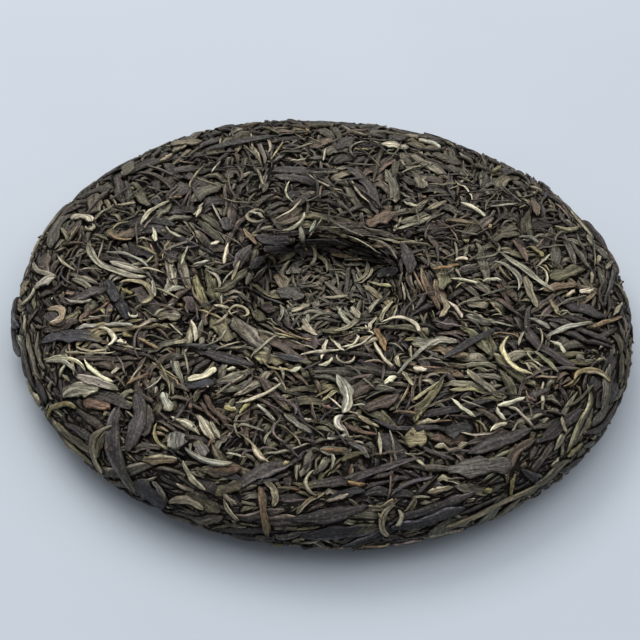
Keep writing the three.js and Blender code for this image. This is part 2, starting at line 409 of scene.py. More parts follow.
def draw_leaves(rng, along, around, heading, shape="leaf", **more):
    """The measures of some leaves, each drawn between the two values given for it."""
    count = len(along)
    leaves = {"along": along, "around": around, "heading": heading}
    drawn = {
        "thickness": (0.5 * MM, 1.0 * MM), "bend": (-150, 150), "hook": (-160, 160),
        "back_hook": (-160, 160),
        "kink": (-500, 500), "wiggle": (-55, 55), "phase": (0, math.tau), "sharp_back": (1.2, 4.5),
        "sharp_front": (1.2, 4.5), "lumps": (0.05, 0.2), "sway": (0, 0.18), "twist": (-2.2, 2.2),
        "fold_depth": (0.55, 1.0), "edge": (2.2, 7), "cup": (-0.7, 0.9), "level": (-0.45 * MM, 0),
        "pleats": (2.4, 3.6), "dip": (0, 0.8 * MM), "wave": (0, 0.18 * MM), "pale_edge": (-1, 1),
        "stripe_and_highlight": (0, 0.45),
        "sheet": (0.26 * MM, 0.34 * MM),
    }
    drawn.update(LEAF_SHAPES[shape])
    drawn.update(more)
    for key, value in drawn.items():
        leaves[key] = value if isinstance(value, np.ndarray) else rng.uniform(*value, count)
    leaves["cup"] = np.maximum(leaves["cup"], 0)
    for key in ("bend", "kink", "hook", "back_hook"):
        if not isinstance(drawn[key], np.ndarray):
            leaves[key] = leaves[key] * rng.random(count) ** 1.3
    return leaves


def give_tones(rng, leaves, tones, tips, tip_share, light=0.25):
    """Gives each leaf its colour, and to some of them another colour towards one end."""
    count = len(leaves["along"])
    colours = np.array([linear(*tone) for tone in tones])
    lightness, hue = np.exp(rng.normal(0, light, (count, 1))), 1 + rng.normal(0, 0.03, (count, 3))
    leaves["tone"] = colours * lightness * hue
    leaves["tip"] = np.array([linear(*tip) for tip in tips])
    leaves["tip_side"] = np.where(rng.random(count) < tip_share, rng.choice([-1.0, 1.0], count), 0.0)
    return leaves


def ring_faces(stations, ribs):
    """The corner numbers of a closed tube of stations, its sides and its two ends."""
    station, rib = np.meshgrid(np.arange(stations - 1), np.arange(ribs), indexing="ij")
    here, beside = station * ribs + rib, station * ribs + (rib + 1) % ribs
    sides = np.stack([here, here + ribs, beside + ribs, beside], axis=-1).reshape(-1, 4)
    return sides, np.arange(ribs), np.arange(ribs)[::-1] + (stations - 1) * ribs


# what a leaf's tone comes to in the light, the pale tone of the hollow's floor, partly painted light,
# and the mid tone towards which leaves at the back blend, as painted light lifting their shade
TONE_IN_LIGHT = np.array([1.18, 1.2, 1.32])
HOLLOW_FLOOR_TONE = linear(106, 103, 91)
FAR_LIFT_TONE = linear(77, 72, 66)


def leaf_tint(leaf, rows, ring, place):
    """A leaf's colour at its corners, with painted shade and painted light on it, and pale where it turns
    up.
    """
    rib, share, phase = RIBS[ring][None, :], SPAN[rows], leaf["phase"]
    along, around, far = leaf["along"][rows, ring], leaf["around"][rows, ring], place[..., 1]
    # the hollow's floor: even and pale, partly its own grey-olive colour, partly painted light against the
    # hollow's shade; the painted shade deep in the cake is weaker there
    hollow_floor_blend = 0.46 * smooth(hollow_along + 8 * MM, hollow_along + 14 * MM, along)
    in_hollow = smooth(hollow_along - 1 * MM, hollow_along + 3 * MM, along)
    on_floor = smooth(hollow_along + 9 * MM, hollow_along + 14 * MM, along)
    on_side = smooth(shoulder_along + 4 * MM, shoulder_along - 3 * MM, along)
    # painted light: a brighter band across the near part of the face
    painted_near_light = np.exp(-((far + 30 * MM) / (24 * MM)) ** 2)
    # painted shade: darker in the folds and towards the edges, lighter on the ridges, darker the deeper it
    # lies
    depth = np.clip(-leaf["top"][rows, ring] / crack_depth(along), 0, 1)
    shade = (0.36 + 0.86 * leaf["relief"][rows, ring]) * (1 - (0.5 - hollow_floor_blend) * depth)
    # painted shade: the corner under the leaf is darkened, so its flanks go dark down into the cracks
    shade[:, -1] *= 0.15
    # painted shade on the walls of the hollow, darkest at the back, a little to the left, under the lip
    shade = shade * (1 - in_hollow * (1 - on_floor) * (0.4 + 0.3 * np.sin(around - 0.5)))
    # painted shade on the cake's side, painted light in a band across the near part of the face, and painted
    # light a little stronger on the left than on the right
    shade = shade * (1 - 0.46 * on_side) * (1 + 0.25 * painted_near_light) * (1 - 0.1 * place[..., 0] / CAKE_RADIUS)
    # partly the leaf's streaky colour, partly painted highlights along the edges of its pleats
    shade = shade * (1 + leaf["stripe_and_highlight"] * np.sin(6.0 * rib + 6 * phase + 0.8 * np.sin(2.5 * share + phase)))
    blend = (abs(leaf["tip_side"]) * smooth(0.2, 1.0, leaf["tip_side"] * share))[..., None]
    colour = shade[..., None] * ((1 - blend) * leaf["tone"] + blend * leaf["tip"])
    side = leaf["pale_edge"]
    if abs(side) > 0.55:
        turned = smooth(0.35, 0.75, math.copysign(1, side) * rib)
        turned = (0.85 * turned * smooth(-0.9, -0.2, math.sin(9 * side) + share))[..., None]
        pale = np.minimum(2.6 * leaf["tone"] + 0.03, linear(168, 160, 128))
        colour = colour * (1 - turned) + pale * turned
    colour = colour * TONE_IN_LIGHT * (1 - 0.2 * colour)
    hollow_floor_blend, shade = hollow_floor_blend[..., None], shade[..., None]
    pale_leaf = smooth(0.15, 0.4, leaf["tone"].mean())
    # painted light: towards the back, darker leaves blend toward one mid tone, which lifts their painted
    # shade and evens them out
    far_lift = 0.45 * (1 - pale_leaf) * smooth(-10 * MM, 65 * MM, far)[..., None]
    colour = (1 - far_lift) * colour + far_lift * (0.55 + 0.45 * shade) * FAR_LIFT_TONE
    # on the hollow's floor the colour blends toward its pale tone: partly its own colour, partly painted
    # light
    return (1 - hollow_floor_blend) * colour + hollow_floor_blend * (0.5 + 0.5 * shade) * HOLLOW_FLOOR_TONE


def leaf_mesh(name, points, tints, maps, corner, size):
    """A mesh from its points, their tints and map, its corners' points and each face's corners."""
    mesh = bpy.data.meshes.new(name)
    mesh.vertices.add(len(points))
    mesh.vertices.foreach_set("co", points.ravel())
    mesh.loops.add(len(corner))
    mesh.loops.foreach_set("vertex_index", corner)
    mesh.polygons.add(len(size))
    mesh.polygons.foreach_set("loop_start", np.concatenate([[0], np.cumsum(size)[:-1]]))
    mesh.polygons.foreach_set("use_smooth", np.ones(len(size), bool))
    opaque = np.concatenate([tints, np.ones((len(points), 1))], axis=1)
    mesh.color_attributes.new("leaf_tint", "FLOAT_COLOR", "POINT").data.foreach_set("color", opaque.ravel())
    mesh.uv_layers.new(name="leaf_map").data.foreach_set("uv", maps[corner].ravel())
    mesh.update(calc_edges=True)
    return mesh


# the least width in mm, and the number of ribs across the top of leaves from that width on
RIBS_BY_WIDTH = [(3.2, 11), (2.1, 7), (1.1, 5), (0, 4)]
UNDER_DEPTH = 0.45 * MM


def leaf_piece(name, laid, material, pitch=1.5 * MM):
    """One mesh of many laid leaves, with their colours and a map that runs along each leaf."""
    points, colours, maps, corners, sizes = [], [], [], [], []
    base = 0
    ragged = np.random.default_rng(len(laid))
    for leaf in laid:
        shown = (leaf["last"] - leaf["first"]) * leaf["length"] / (FINE - 1)
        stations = int(np.clip(round(shown / pitch) + 1, 4, 26))
        rows = np.round(np.linspace(leaf["first"], leaf["last"], stations)).astype(int)
        upper = next(ribs for least, ribs in RIBS_BY_WIDTH if leaf["width"] >= least * MM)
        ring = np.append(np.round(np.linspace(0, ACROSS - 1, upper)).astype(int), MIDRIB)
        rows = rows[:, None] + np.zeros(len(ring), int)
        rows[0] += ragged.integers(0, 4, len(ring))
        rows[-1] -= ragged.integers(0, 4, len(ring))
        height = leaf["top"][rows, ring]
        height[:, -1] = height.min(axis=1) - UNDER_DEPTH
        middle = leaf["along"][rows[:, -1], MIDRIB]
        on_side = smooth(shoulder_along + 8 * MM, shoulder_along + 3 * MM, middle)
        height[:, -1] = np.minimum(height[:, -1], -on_side * (crack_depth(middle) + 0.2 * MM))
        place = on_form(leaf["along"][rows, ring], leaf["around"][rows, ring], height)
        points.append(make_uneven(place).reshape(-1, 3))
        colours.append(leaf_tint(leaf, rows, ring, place).reshape(-1, 3))
        travel = rows * leaf["length"] / (FINE - 1)
        maps.append(np.stack([
            leaf["offset"][rows, ring] / MM + 230 * leaf["phase"], travel / MM + 60 * leaf["phase"]],
            axis=-1).reshape(-1, 2))
        sides, back, front = ring_faces(stations, len(ring))
        corners += [(sides + base).ravel(), back + base, front + base]
        sizes += [np.full(len(sides), 4), [len(ring)], [len(ring)]]
        base += stations * len(ring)
    mesh = leaf_mesh(name, *(np.concatenate(parts) for parts in (points, colours, maps, corners, sizes)))
    return add_piece(name, mesh, material)


def leaf_material(name, roughness, streak, crease_shade, dust, dust_colour):
    """Dry leaf: its tint with its painted light and shade, fine streaks and wrinkles along it, crease lines
    of painted shade, a dusty bloom, a dull sheen.
    """
    material, shader, add = new_material(name)
    tint = add("ShaderNodeAttribute", attribute_name="leaf_tint").outputs["Color"]
    leaf_map = add("ShaderNodeUVMap", uv_map="leaf_map").outputs["UV"]
    place = add("ShaderNodeTexCoord").outputs["Object"]
    lengthwise = add("ShaderNodeMapping", {"Vector": leaf_map, "Scale": (1.05, 0.1, 1)}).outputs["Vector"]
    veins = add("ShaderNodeTexNoise", {"Vector": lengthwise, "Scale": 1.0, "Detail": 4.0, "Roughness": 0.7})
    # the streaks: partly the leaf's own streaky colour, partly painted light and shade of the wrinkles that
    # the same noise raises in the bump
    light = add("ShaderNodeMapRange", {
        "Value": veins.outputs["Fac"], "From Min": 0.35, "From Max": 0.65,
        "To Min": streak[0], "To Max": streak[1]})
    streaked = add("ShaderNodeVectorMath", {0: tint, 1: light.outputs["Result"]}, operation="MULTIPLY")
    # painted shade: thin dark crease lines along the leaf, where the same pattern dents the surface
    folds = add("ShaderNodeTexNoise", {
        "Vector": add("ShaderNodeMapping", {"Vector": leaf_map, "Scale": (0.95, 0.05, 1)}).outputs["Vector"],
        "Scale": 1.0, "Detail": 2.5, "Roughness": 0.6})
    across_fold = add("ShaderNodeMath", {0: folds.outputs["Fac"], 1: 0.5}, operation="SUBTRACT")
    from_fold = add("ShaderNodeMath", {0: across_fold.outputs["Value"]}, operation="ABSOLUTE")
    crease = add("ShaderNodeMapRange", {
        "Value": from_fold.outputs["Value"], "From Min": 0.0, "From Max": 0.035,
        "To Min": crease_shade, "To Max": 1.0})
    creased = add("ShaderNodeVectorMath", {
        0: streaked.outputs["Vector"], 1: crease.outputs["Result"]}, operation="MULTIPLY")
    grains = add("ShaderNodeTexNoise", {"Vector": place, "Scale": 1100.0, "Detail": 2.0})
    speckle = add("ShaderNodeMapRange", {
        "Value": grains.outputs["Fac"], "From Min": 0.3, "From Max": 0.7, "To Min": 0.72, "To Max": 1.28})
    speckled = add("ShaderNodeVectorMath", {
        0: creased.outputs["Vector"], 1: speckle.outputs["Result"]}, operation="MULTIPLY")
    bloom = add("ShaderNodeMapRange", {
        "Value": grains.outputs["Fac"], "From Min": 0.52, "From Max": 0.74, "To Min": 0.0, "To Max": dust})
    in_light = add("ShaderNodeMapRange", {"Value": tint, "From Min": 0.0, "From Max": 0.018})
    in_light = in_light.outputs["Result"]
    settled = add("ShaderNodeMath", {0: bloom.outputs["Result"], 1: in_light}, operation="MULTIPLY")
    dusted = add("ShaderNodeMix", {
        "Factor": settled.outputs["Value"], "A": speckled.outputs["Vector"],
        "B": (*linear(*dust_colour), 1)}, data_type="RGBA")
    gloss = add("ShaderNodeMapRange", {
        "Value": veins.outputs["Fac"], "To Min": roughness[0], "To Max": roughness[1]})
    crinkle = add("ShaderNodeBump", {
        "Height": grains.outputs["Fac"], "Strength": 0.7, "Distance": 0.35 * MM})
    wrinkle = add("ShaderNodeBump", {
        "Height": veins.outputs["Fac"], "Strength": 1.0, "Distance": 0.9 * MM,
        "Normal": crinkle.outputs["Normal"]})
    dented = add("ShaderNodeBump", {
        "Height": crease.outputs["Result"], "Strength": 0.8, "Distance": 0.3 * MM,
        "Normal": wrinkle.outputs["Normal"]})
    link_inputs(
        shader, Base_Color=dusted.outputs["Result"], Roughness=gloss.outputs["Result"],
        Normal=dented.outputs["Normal"])
    shader.inputs["Specular IOR Level"].default_value = 0.36
    return material


# the tones of leaves and buds as the eye names them, and what they are called below
TONES = {
    "cream": (214, 204, 166), "yellowcream": (207, 196, 142), "pale": (194, 184, 149),
    "silver": (152, 147, 127), "silverbeige": (156, 148, 125), "beige": (166, 154, 121),
    "tan": (136, 115, 80), "tanbeige": (154, 138, 105),
    "amber": (132, 104, 66), "yellow": (142, 132, 80), "khaki": (128, 121, 86), "olivebeige": (132, 125, 96),
    "olive": (92, 85, 56), "grey": (96, 92, 82), "brown": (96, 75, 54), "rose": (114, 91, 76),
    "charcoal": (56, 49, 46), "black": (38, 37, 39),
}
# The leaves that stand out in the photo, each where it shows there. They were read off it: the
# width in mm, and the places in its 640 by 640 pixels of the leaf's start, its middle and its end.
MARKED_LEAVES = {
    ("bud", "cream"): [
        (1.3, (236, 402), (260, 394), (283, 381)), (1.5, (252, 444), (257, 453), (264, 460)),
        (1.4, (398, 510), (402, 519), (396, 528)), (1.1, (303, 354), (319, 350), (344, 349)),
        (1.1, (342, 346), (355, 341), (356, 333)), (0.9, (358, 352), (345, 361), (338, 354)),
        (1.7, (289, 371), (295, 369), (300, 366)), (1.6, (378, 323), (404, 317), (420, 333)),
        (2.2, (384, 384), (390, 379), (395, 376)), (1.3, (303, 418), (307, 418), (311, 419)),
        (1.7, (153, 227), (155, 234), (155, 242)), (1.2, (196, 217), (198, 211), (202, 206)),
        (1.6, (210, 244), (215, 242), (219, 241)), (1.5, (228, 242), (226, 253), (224, 263)),
        (0.9, (129, 312), (133, 315), (139, 312)), (1.8, (96, 327), (112, 333), (107, 346)),
        (1.5, (190, 319), (195, 330), (194, 341)), (1.6, (214, 304), (222, 305), (230, 307)),
        (1.7, (463, 202), (475, 207), (488, 217)), (1.5, (450, 277), (464, 278), (478, 282)),
        (1.4, (481, 282), (492, 278), (500, 280)), (1.4, (451, 303), (458, 308), (463, 320)),
        (1.6, (552, 341), (560, 344), (564, 354)), (1.5, (526, 395), (512, 400), (498, 405)),
        (1.5, (498, 403), (499, 411), (507, 419)), (1.5, (491, 431), (498, 424), (507, 422)),
        (1.4, (452, 398), (463, 407), (476, 417)), (1.6, (82, 357), (96, 372), (112, 380)),
    ],
    ("bud", "yellowcream"): [
        (1.9, (513, 329), (506, 356), (529, 370)), (1.4, (440, 380), (426, 390), (414, 399)),
        (1.5, (367, 281), (380, 284), (392, 286)),
    ],
    ("flake", "cream"): [
        (2.4, (414, 367), (420, 368), (428, 369)), (2.2, (116, 340), (121, 341), (126, 342)),
        (2.8, (190, 377), (204, 375), (217, 364)),
    ],
    ("bud", "pale"): [
        (1.4, (327, 500), (338, 497), (350, 492)), (1.3, (330, 338), (338, 344), (344, 350)),
        (1.3, (321, 358), (324, 347), (327, 338)), (1.3, (317, 364), (327, 362), (332, 357)),
        (1.3, (373, 338), (382, 354), (395, 366)), (1.2, (378, 432), (380, 442), (381, 455)),
        (1.1, (165, 224), (172, 231), (181, 235)), (1.2, (204, 269), (218, 277), (218, 287)),
        (1.3, (32, 289), (28, 297), (17, 308)), (1.4, (110, 375), (114, 370), (118, 368)),
        (1.2, (403, 200), (411, 203), (417, 205)), (1.4, (455, 260), (461, 257), (469, 259)),
        (1.7, (184, 462), (190, 477), (209, 493)), (1.2, (248, 212), (258, 213), (264, 218)),
        (1.3, (312, 248), (315, 255), (308, 268)),
    ],
    ("leaf", "pale"): [
        (1.4, (140, 224), (151, 210), (172, 200)), (1.6, (304, 212), (298, 224), (280, 230)),
    ],
    ("flake", "pale"): [
        (2.6, (73, 217), (84, 215), (92, 224)), (2.4, (580, 292), (587, 290), (594, 288)),
    ],
    ("bud", "beige"): [
        (1.2, (316, 470), (305, 483), (321, 497)), (1.2, (231, 321), (240, 305), (242, 318)),
        (1.5, (118, 205), (126, 203), (137, 202)), (1.4, (86, 224), (91, 227), (92, 221)),
        (1.7, (560, 225), (570, 228), (583, 225)), (1.4, (562, 416), (563, 424), (568, 433)),
        (1.4, (160, 160), (166, 156), (172, 152)),
    ],
    ("bud", "silver"): [
        (1.9, (76, 328), (86, 324), (98, 326)), (1.8, (105, 324), (119, 322), (134, 324)),
        (1.2, (65, 298), (77, 300), (93, 298)), (1.4, (518, 237), (530, 236), (539, 242)),
        (1.2, (309, 232), (313, 226), (316, 219)),
    ],
    ("bud", "yellow"): [
        (1.2, (239, 413), (244, 406), (251, 400)), (1.7, (121, 287), (127, 290), (133, 292)),
        (1.5, (530, 245), (538, 250), (545, 256)), (1.5, (516, 473), (515, 485), (513, 497)),
        (1.6, (568, 458), (576, 451), (584, 444)), (1.8, (47, 424), (56, 405), (73, 408)),
    ],
    ("strand", "silver"): [
        (1.2, (397, 373), (413, 357), (433, 341)), (1.3, (428, 342), (416, 354), (402, 367)),
        (1.3, (47, 361), (63, 360), (77, 373)),
    ],
    ("strand", "beige"): [
        (0.9, (107, 347), (92, 350), (72, 344)), (0.9, (56, 253), (64, 263), (76, 270)),
        (0.9, (214, 349), (227, 344), (240, 341)), (1.2, (278, 214), (247, 214), (265, 217)),
    ],
    ("leaf", "silver"): [
        (3.8, (336, 374), (347, 393), (343, 414)), (2.2, (343, 414), (336, 421), (347, 432)),
        (1.3, (258, 404), (267, 412), (276, 422)), (1.4, (103, 251), (130, 254), (148, 266)),
        (1.5, (152, 278), (154, 287), (155, 296)), (1.9, (169, 291), (176, 287), (185, 287)),
        (2.0, (530, 318), (542, 321), (551, 330)), (2.0, (548, 335), (568, 326), (596, 321)),
        (1.8, (150, 480), (158, 491), (165, 502)), (2.0, (188, 449), (205, 458), (239, 461)),
        (1.6, (301, 222), (302, 236), (306, 252)),
    ],
    ("leaf", "silverbeige"): [
        (2.8, (89, 237), (103, 264), (149, 276)), (3.4, (110, 261), (127, 266), (145, 273)),
        (3.2, (80, 377), (98, 382), (124, 392)), (1.8, (32, 258), (38, 270), (53, 272)),
        (1.9, (498, 263), (516, 272), (520, 294)), (2.4, (500, 251), (527, 270), (556, 294)),
        (3.0, (427, 344), (441, 339), (459, 342)),
    ],
    ("leaf", "beige"): [
        (1.9, (264, 482), (274, 491), (271, 510)), (2.0, (397, 504), (382, 520), (390, 539)),
        (1.9, (398, 354), (397, 360), (401, 365)), (1.4, (402, 369), (408, 377), (414, 386)),
        (1.3, (223, 497), (228, 512), (237, 521)), (1.4, (223, 494), (230, 500), (237, 505)),
        (1.5, (60, 227), (66, 233), (68, 240)), (2.4, (426, 210), (436, 204), (446, 201)),
        (1.6, (619, 257), (611, 263), (607, 268)), (1.7, (449, 530), (496, 507), (541, 482)),
        (2.4, (171, 503), (184, 501), (206, 512)), (2.2, (392, 302), (384, 312), (382, 322)),
    ],
    ("flake", "beige"): [
        (3.0, (304, 321), (309, 329), (317, 337)), (2.4, (292, 311), (301, 307), (311, 303)),
        (2.6, (352, 307), (356, 312), (360, 318)),
    ],
    ("flake", "yellow"): [
        (2.2, (224, 406), (230, 408), (237, 409)), (2.0, (122, 332), (127, 334), (132, 335)),
        (2.0, (493, 170), (497, 167), (501, 164)), (1.8, (484, 492), (488, 491), (492, 490)),
    ],
    ("flake", "silver"): [
        (3.0, (162, 391), (166, 400), (171, 411)), (3.6, (33, 287), (44, 281), (54, 273)),
    ],
    ("pleated", "silverbeige"): [(7.0, (65, 394), (80, 386), (101, 391))],
    ("flake", "khaki"): [(6.4, (404, 438), (416, 438), (428, 438))],
    ("bud", "amber"): [
        (1.0, (168, 197), (175, 196), (182, 195)), (1.3, (433, 268), (446, 266), (462, 263)),
        (1.5, (365, 484), (357, 482), (348, 481)),
    ],
    ("bud", "tan"): [
        (1.4, (138, 336), (148, 342), (159, 347)), (1.4, (588, 327), (607, 321), (625, 316)),
    ],
    ("bud", "tanbeige"): [
        (2.0, (121, 284), (147, 285), (135, 309)), (1.5, (549, 298), (555, 307), (560, 314)),
    ],
    ("bud", "rose"): [
        (1.7, (322, 404), (327, 406), (333, 408)), (1.6, (93, 305), (86, 312), (80, 318)),
        (1.9, (65, 292), (70, 292), (75, 292)), (1.2, (527, 395), (532, 397), (537, 400)),
    ],
    ("bud", "olivebeige"): [(1.3, (428, 183), (443, 183), (457, 181))],
    ("strand", "tan"): [(0.9, (107, 226), (116, 237), (129, 237))],
    ("strand", "yellow"): [(1.0, (158, 420), (156, 437), (165, 446))],
    ("leaf", "tan"): [
        (2.2, (259, 484), (264, 513), (267, 539)), (1.4, (298, 514), (309, 500), (327, 490)),
        (1.9, (441, 219), (461, 220), (473, 223)), (2.2, (573, 381), (590, 368), (611, 383)),
        (2.8, (141, 460), (158, 458), (176, 459)), (1.7, (243, 229), (250, 236), (257, 245)),
    ],
    ("leaf", "amber"): [
        (2.2, (375, 329), (381, 337), (386, 354)), (1.5, (324, 448), (336, 448), (351, 450)),
        (1.3, (126, 384), (138, 377), (150, 373)), (1.5, (332, 254), (342, 256), (355, 258)),
    ],
    ("leaf", "tanbeige"): [
        (1.9, (358, 414), (368, 420), (380, 426)), (2.4, (43, 308), (62, 312), (46, 323)),
        (2.2, (441, 296), (446, 305), (437, 319)), (2.0, (427, 492), (440, 489), (454, 486)),
        (1.5, (232, 282), (236, 270), (240, 262)),
    ],
    ("leaf", "olivebeige"): [
        (2.2, (355, 308), (353, 323), (327, 331)), (1.8, (173, 343), (181, 341), (189, 339)),
        (2.8, (525, 274), (530, 291), (536, 306)), (1.6, (535, 351), (547, 360), (560, 373)),
        (1.6, (211, 421), (215, 429), (219, 438)),
    ],
    ("leaf", "rose"): [(2.4, (513, 240), (522, 249), (529, 263))],
    ("flake", "brown"): [
        (4.4, (109, 224), (119, 234), (130, 227)), (5.0, (366, 226), (380, 218), (396, 212)),
    ],
    ("leaf", "brown"): [
        (1.9, (344, 421), (359, 429), (379, 433)), (1.4, (394, 412), (405, 411), (417, 414)),
        (3.2, (533, 199), (536, 207), (538, 216)), (2.0, (385, 205), (392, 212), (398, 222)),
    ],
    ("flake", "olive"): [
        (3.4, (215, 494), (228, 488), (244, 485)), (5.0, (551, 277), (567, 272), (582, 266)),
        (3.4, (322, 331), (333, 329), (344, 327)),
    ],
    ("leaf", "olive"): [
        (2.0, (342, 461), (353, 453), (368, 453)), (2.4, (107, 430), (98, 444), (95, 457)),
    ],
    ("leaf", "grey"): [
        (2.0, (347, 442), (361, 446), (370, 458)), (2.4, (286, 413), (298, 422), (314, 432)),
    ],
    ("flake", "grey"): [
        (5.6, (446, 472), (480, 466), (511, 465)), (5.6, (177, 431), (177, 439), (177, 448)),
        (3.8, (197, 440), (201, 447), (205, 455)), (3.4, (292, 268), (296, 270), (301, 273)),
    ],
    ("pleated", "olivebeige"): [(2.8, (113, 423), (89, 446), (104, 478))],
    ("pleated", "olive"): [(4.6, (184, 495), (202, 502), (221, 514))],
    ("pleated", "brown"): [
        (4.6, (199, 472), (220, 467), (240, 467)), (4.0, (82, 398), (95, 402), (112, 405)),
    ],
    ("leaf", "black"): [
        (2.6, (275, 354), (292, 358), (316, 363)), (2.6, (329, 497), (347, 491), (365, 491)),
        (3.4, (106, 278), (113, 290), (113, 302)), (3.0, (492, 329), (469, 341), (440, 360)),
        (3.2, (392, 532), (430, 521), (470, 506)), (3.4, (205, 150), (240, 140), (280, 134)),
    ],
    ("leaf", "charcoal"): [
        (4.0, (46, 312), (54, 318), (64, 321)), (2.2, (353, 478), (384, 466), (430, 453)),
        (3.0, (398, 520), (436, 508), (482, 490)),
    ],
    # the ones along the hollow's back wall, under its lip, are black as painted shade of the lip's shadow
    ("flake", "black"): [
        (4.6, (44, 340), (73, 334), (107, 341)), (6.0, (135, 484), (150, 496), (166, 508)),
        (4.4, (186, 380), (200, 383), (212, 378)), (4.0, (264, 250), (278, 250), (292, 252)),
        (4.6, (376, 272), (388, 272), (398, 268)), (5.6, (277, 290), (290, 293), (304, 298)),
    ],
    ("pleated", "charcoal"): [
        (5.0, (119, 395), (112, 449), (127, 486)), (4.6, (135, 392), (138, 420), (122, 457)),
        (3.6, (147, 400), (147, 418), (144, 437)), (3.8, (299, 481), (338, 479), (384, 462)),
        (3.6, (200, 482), (218, 491), (246, 511)), (4.6, (238, 486), (262, 470), (300, 462)),
        (4.4, (292, 520), (330, 516), (372, 505)), (4.4, (470, 452), (500, 440), (535, 428)),
        (4.0, (540, 440), (560, 425), (585, 405)), (4.2, (60, 300), (85, 292), (110, 285)),
        (4.2, (236, 270), (242, 256), (250, 246)), (4.4, (400, 240), (408, 256), (410, 272)),
    ],
    # the ones along the hollow's back wall, under its lip, are black as painted shade of the lip's shadow
    ("pleated", "black"): [
        (4.4, (300, 538), (340, 534), (380, 528)), (4.0, (106, 285), (120, 300), (126, 318)),
        (4.6, (258, 236), (275, 240), (296, 240)), (4.6, (300, 244), (325, 243), (352, 246)),
    ],
}
PHOTO_SIZE = 640
ZOOM = PHOTO_SIZE * LENS_LENGTH / SENSOR_WIDTH
LOOKUP_STEP = 0.4


def shows_at(points):
    """The pixels of the photo at which points show, as the camera has the photo's view."""
    right, up, back = np.array(gaze).T
    sight = points - np.array(VIEW_FROM)
    from_centre = np.stack([sight @ right, -sight @ up], axis=-1)
    return PHOTO_SIZE / 2 + ZOOM * from_centre / -(sight @ back)[..., None]


# places all over the cake, every 0.4 mm up its outline and every 0.4 degrees round, kept where they show
grid_along, grid_around = np.meshgrid(
    np.arange(0.25 * OUTLINE_LENGTH, OUTLINE_LENGTH, LOOKUP_STEP * MM),
    np.radians(np.arange(-180, 180, LOOKUP_STEP)), indexing="ij")
grid_points = make_uneven(on_form(grid_along, grid_around, 0.0))
outwards = np.cross(np.gradient(grid_points, axis=1), np.gradient(grid_points, axis=0))
in_view = (outwards * (np.array(VIEW_FROM) - grid_points)).sum(axis=-1) > 0
grid_along, grid_around, grid_pixels = (
    values[in_view] for values in (grid_along, grid_around, shows_at(grid_points)))


def traced_line(trace):
    """A leaf's place, heading, length and bend, from the pixels of its start, middle and end."""
    nearest = [np.argmin(np.hypot(*(grid_pixels - pixel).T)) for pixel in trace]
    along, around = grid_along[nearest], grid_around[nearest]
    back_half, front_half = np.diff(on_form(along, around, 0.0), axis=0)
    climb = on_form(along[1] + 0.5 * MM, around[1], 0.0) - on_form(along[1] - 0.5 * MM, around[1], 0.0)
    turn = np.array([-math.sin(around[1]), math.cos(around[1]), 0]) * np.linalg.norm(climb)
    back_way, front_way = (math.atan2(half @ turn, half @ climb) for half in (back_half, front_half))
    change = (front_way - back_way + math.pi) % math.tau - math.pi
    length = np.linalg.norm(back_half) + np.linalg.norm(front_half)
    return along[1], around[1], back_way + change / 2, length, 2 * change / length


rng = np.random.default_rng(11)
dry_leaf = leaf_material("dry_leaf", (0.36, 0.64), (0.38, 1.75), 0.3, 0.26, (148, 140, 118))
downy_bud = leaf_material("downy_bud", (0.5, 0.75), (0.45, 1.45), 0.5, 0.22, (206, 199, 172))
marked = {"bud": [], "other": []}
# the bunches of leaves that bulge out over the left side and over the back of the right side: how far
# up the outline in mm, where round the axis in degrees, and their tone
left_bulge = ((98, -173, "black"), (101.5, -169, "black"), (105.5, -172, "black"), (95, -166, "black"))
right_bulge = ((107, 17, "brown"), (103, 20, "olive"), (110, 22, "charcoal"), (99, 16, "charcoal"))
for up, turn, tone in left_bulge + right_bulge:
    bulge = draw_leaves(
        rng, np.array([up * MM]), np.radians([turn]), np.radians([90 + 6 * math.sin(up)]), "pleated",
        length=(17 * MM, 24 * MM), width=(3.6 * MM, 4.6 * MM), thickness=(1.0 * MM, 1.3 * MM),
        bend=(-20, 20), hook=(0, 0), back_hook=(0, 0), level=(1.2 * MM, 1.7 * MM), dip=(1.6 * MM, 2.2 * MM))
    give_tones(rng, bulge, [TONES[tone]], [TONES["charcoal"]], 0.5, 0.1)
    marked["other"] += lay(bulge, 0.05)
for (shape, tone), traces in MARKED_LEAVES.items():
    tip = "olivebeige" if tone in ("cream", "pale", "yellowcream", "silver") else "olive"
    for width, *trace in traces:
        along, around, heading, length, bend = (np.array([value]) for value in traced_line(trace))
        leaf = draw_leaves(
            rng, along, around, heading, shape, length=np.maximum(length, 2.2 * MM), bend=bend,
            width=np.array([width * MM]), hook=(-60, 60), back_hook=(-60, 60), kink=(0, 0),
            wiggle=(-15, 15), dip=(0, 0.3 * MM), level=(-0.15 * MM, 0.15 * MM))
        give_tones(rng, leaf, [TONES[tone]], [TONES[tip]], 0.25, 0.08)
        marked["bud" if shape == "bud" else "other"] += lay(leaf, 0.05)
leaf_piece("marked_buds", marked["bud"], downy_bud, 0.8 * MM)
leaf_piece("marked_leaves", marked["other"], dry_leaf, 1.0 * MM)


# Thin strands: leaf stems, and the edges of leaves rolled so tight that they are little more than
# threads. They lie on top, curl and cross over the broader leaves.
STRANDS = 430
LEAF_TONES = [
    (0.48, [(68, 57, 47), (55, 47, 42), (75, 63, 50), (58, 51, 47), (45, 41, 40)], (100, 89, 67)),
    (0.24, [(112, 106, 86), (95, 90, 74), (130, 123, 99)], (156, 147, 112)),
    (0.16, [(99, 93, 66), (119, 110, 77), (86, 81, 58)], (156, 144, 104)),
    (0.07, [(92, 78, 58), (110, 92, 67), (82, 69, 53), (104, 83, 62)], (152, 135, 99)),
    (0.05, [(154, 146, 121), (166, 156, 124)], (192, 183, 148)),
]


